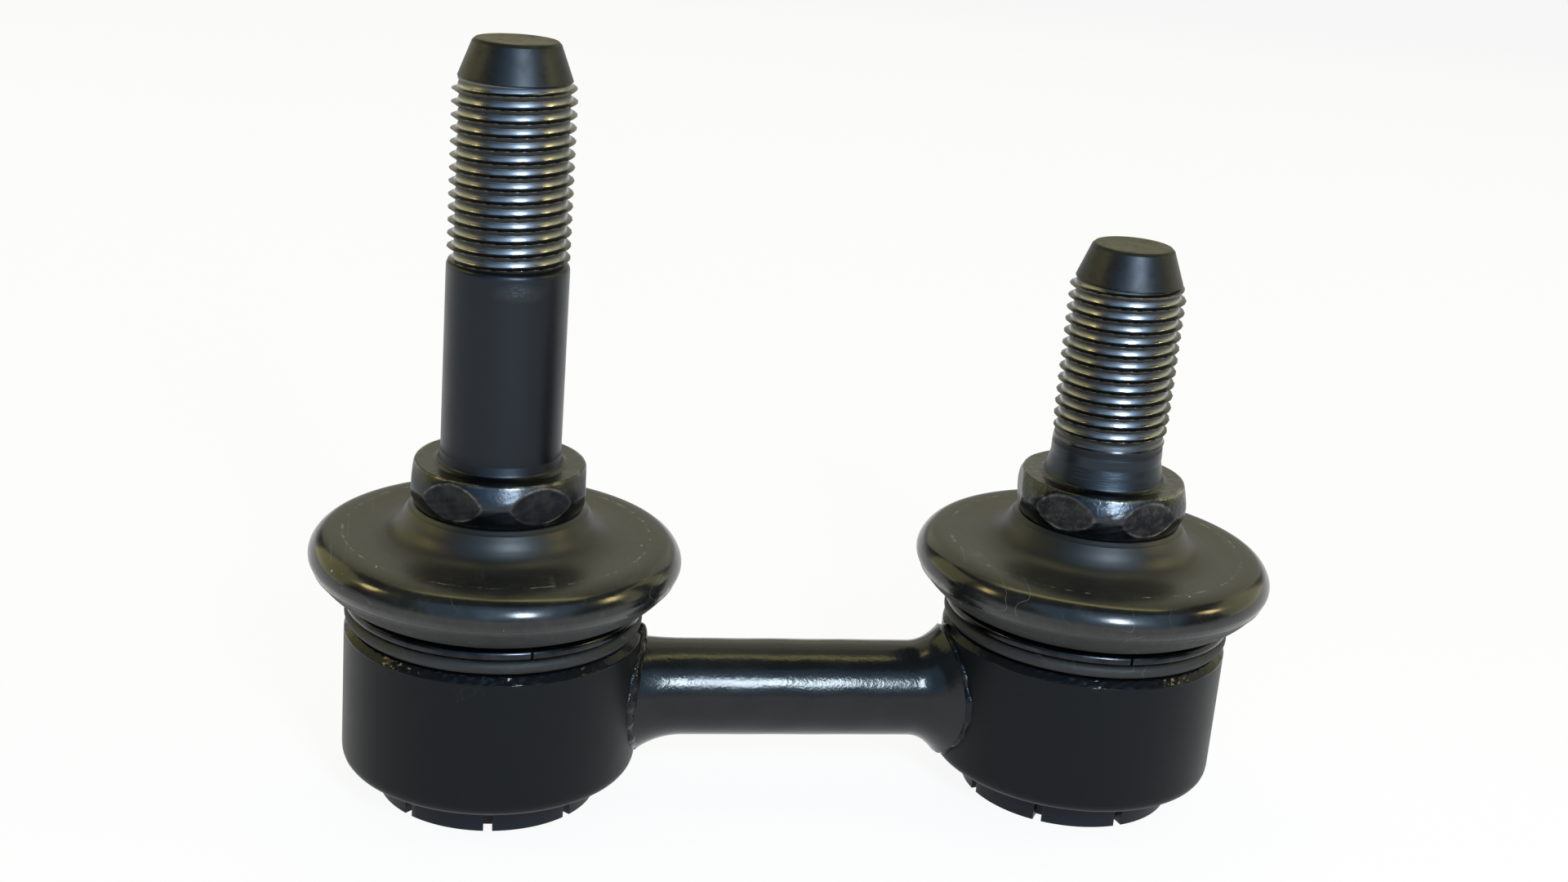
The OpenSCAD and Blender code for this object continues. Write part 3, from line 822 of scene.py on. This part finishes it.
studio = {
    "world": (0.9, 0.95, 1.0, 0.06), "floorWhite": 0.88, "floorGlow": 0.92, "floorReach": 40.0, "haze": 0.22,
    "aim": (0, 0, 0.03),
    "lamps": [            # name, azimuth from the camera's, height, distance, size, radiance, colour
        ("window", 20, 29.5, 0.32, (0.055, 0.09), 52.0, (0.76, 0.89, 1.0)),
        ("sky", 10, 35, 0.70, (1.3, 0.75), 0.85, (0.38, 0.67, 1.0)),
        ("skyGlow", 18, 31, 0.66, (0.5, 0.44), 0.9, (0.4, 0.68, 1.0)),
        ("leftBulb", -82, 33, 0.58, (0.09, 0.09), 17.0, (1.0, 0.78, 0.3)),
        ("rightBulb", 88, 33, 0.58, (0.09, 0.09), 17.0, (1.0, 0.8, 0.34)),
        ("leftWall", -112, 22, 0.62, (0.5, 0.4), 1.0, (1.0, 0.93, 0.42)),
        ("rightWall", 112, 22, 0.62, (0.5, 0.4), 1.05, (1.0, 0.94, 0.5)),
        ("backWall", 178, 31, 0.75, (1.0, 0.52), 0.72, (1.0, 0.96, 0.68)),
        ("ceiling", 170, 79, 0.72, (0.7, 0.1), 4.0, (1.0, 0.9, 0.34)),
        ("ceilingGlow", 178, 63, 0.74, (0.9, 0.4), 0.55, (1.0, 0.94, 0.6)),
    ],
}
view = {
    "azimuth": -10.541, "height": 17.947, "roll": 4.806, "distance": 215.344, "aim": (-2.942, 0.0, 38.938),
    "focal": 2542.198, "pixels": 1920, "sensor": 36.0, "near": 0.005, "far": 50.0,
}


def direction(azimuth, height):
    a, h = math.radians(azimuth), math.radians(height)
    return Vector((math.sin(a) * math.cos(h), -math.cos(a) * math.cos(h), math.sin(h)))


def seenDirectly(tree):                          # by the camera, or in metal and through glass
    path = put(tree, "ShaderNodeLightPath", {}, {}).outputs
    rays = [Signal(tree, path[ray]) for ray in ("Is Camera Ray", "Is Glossy Ray", "Is Transmission Ray")]
    return (rays[0] + rays[1] + rays[2]).held()


def addFloor():
    mesh = bpy.data.meshes.new("studioFloor")
    far = studio["floorReach"]
    mesh.from_pydata([(-far, -far, 0), (far, -far, 0), (far, far, 0), (-far, far, 0)], [], [(0, 1, 2, 3)])
    floor = bpy.data.objects.new("studioFloor", mesh)
    bpy.context.scene.collection.objects.link(floor)
    pale = (studio["floorWhite"],) * 3 + (1,)
    f = Finish("paleFloor", {"Base Color": pale, "Roughness": 0.9, "Specular IOR Level": 0.0})
    share = seenDirectly(f.tree) * studio["floorGlow"]
    glow = f.add("ShaderNodeEmission", {}, {"Color": (1, 1, 1, 1), "Strength": 1.0}, 0)
    both = f.add("ShaderNodeMixShader", {}, {0: share, 1: Signal(f.tree, f.shader.outputs[0]), 2: glow}, 0)
    f.tree.links.new(both.socket, f.tree.nodes["Material Output"].inputs["Surface"])
    mesh.materials.append(f.material)


def addLamps():
    aim = Vector(studio["aim"])
    for name, azimuth, height, distance, (wide, tall), radiance, colour in studio["lamps"]:
        lamp = bpy.data.lights.new(name, "AREA")
        lamp.shape, lamp.size, lamp.size_y = "RECTANGLE", wide, tall
        lamp.energy, lamp.color = radiance * math.pi * wide * tall, colour
        holder = bpy.data.objects.new(name, lamp)
        bpy.context.scene.collection.objects.link(holder)
        away = direction(view["azimuth"] + azimuth, height)
        holder.location = aim + away * distance
        holder.rotation_euler = away.to_track_quat("Z", "Y").to_euler()
    world = bpy.data.worlds.new("studioAir")
    bpy.context.scene.world = world
    world.use_nodes = True
    tree = world.node_tree
    back = tree.nodes["Background"]
    back.inputs["Color"].default_value = (*studio["world"][:3], 1)
    back.inputs["Strength"].default_value = studio["world"][3]
    towards = put(tree, "ShaderNodeTexCoord", {}, {}).outputs["Generated"]
    rise = Signal(tree, put(tree, "ShaderNodeSeparateXYZ", {}, {0: towards}).outputs["Z"])
    low = (1 - rise / studio["haze"]).held()     # the pale floor runs on into a pale horizon
    haze = put(tree, "ShaderNodeBackground", {}, {"Color": (1, 1, 1, 1), "Strength": studio["floorGlow"]})
    both = put(tree, "ShaderNodeMixShader", {}, {0: seenDirectly(tree) * low, 1: back.outputs[0], 2: haze.outputs[0]})
    tree.links.new(both.outputs[0], tree.nodes["World Output"].inputs["Surface"])


def addCamera():
    back = direction(view["azimuth"], view["height"])
    right = Vector((0, 0, 1)).cross(back).normalized()
    up = back.cross(right)
    c, s = math.cos(math.radians(view["roll"])), math.sin(math.radians(view["roll"]))
    across, over = right * c + up * s, up * c - right * s
    lens = bpy.data.cameras.new("photoCamera")
    lens.sensor_fit, lens.sensor_width = "HORIZONTAL", view["sensor"]
    lens.lens = view["focal"] / view["pixels"] * view["sensor"]
    lens.clip_start, lens.clip_end = view["near"], view["far"]
    camera = bpy.data.objects.new("photoCamera", lens)
    bpy.context.scene.collection.objects.link(camera)
    place = Matrix((across, over, back)).transposed().to_4x4()
    place.translation = (Vector(view["aim"]) + back * view["distance"]) * mm
    camera.matrix_world = place
    bpy.context.scene.camera = camera


addFloor()
addLamps()
addCamera()
bpy.context.scene.view_settings.view_transform = "Standard"
print("set floor, lamps and camera")
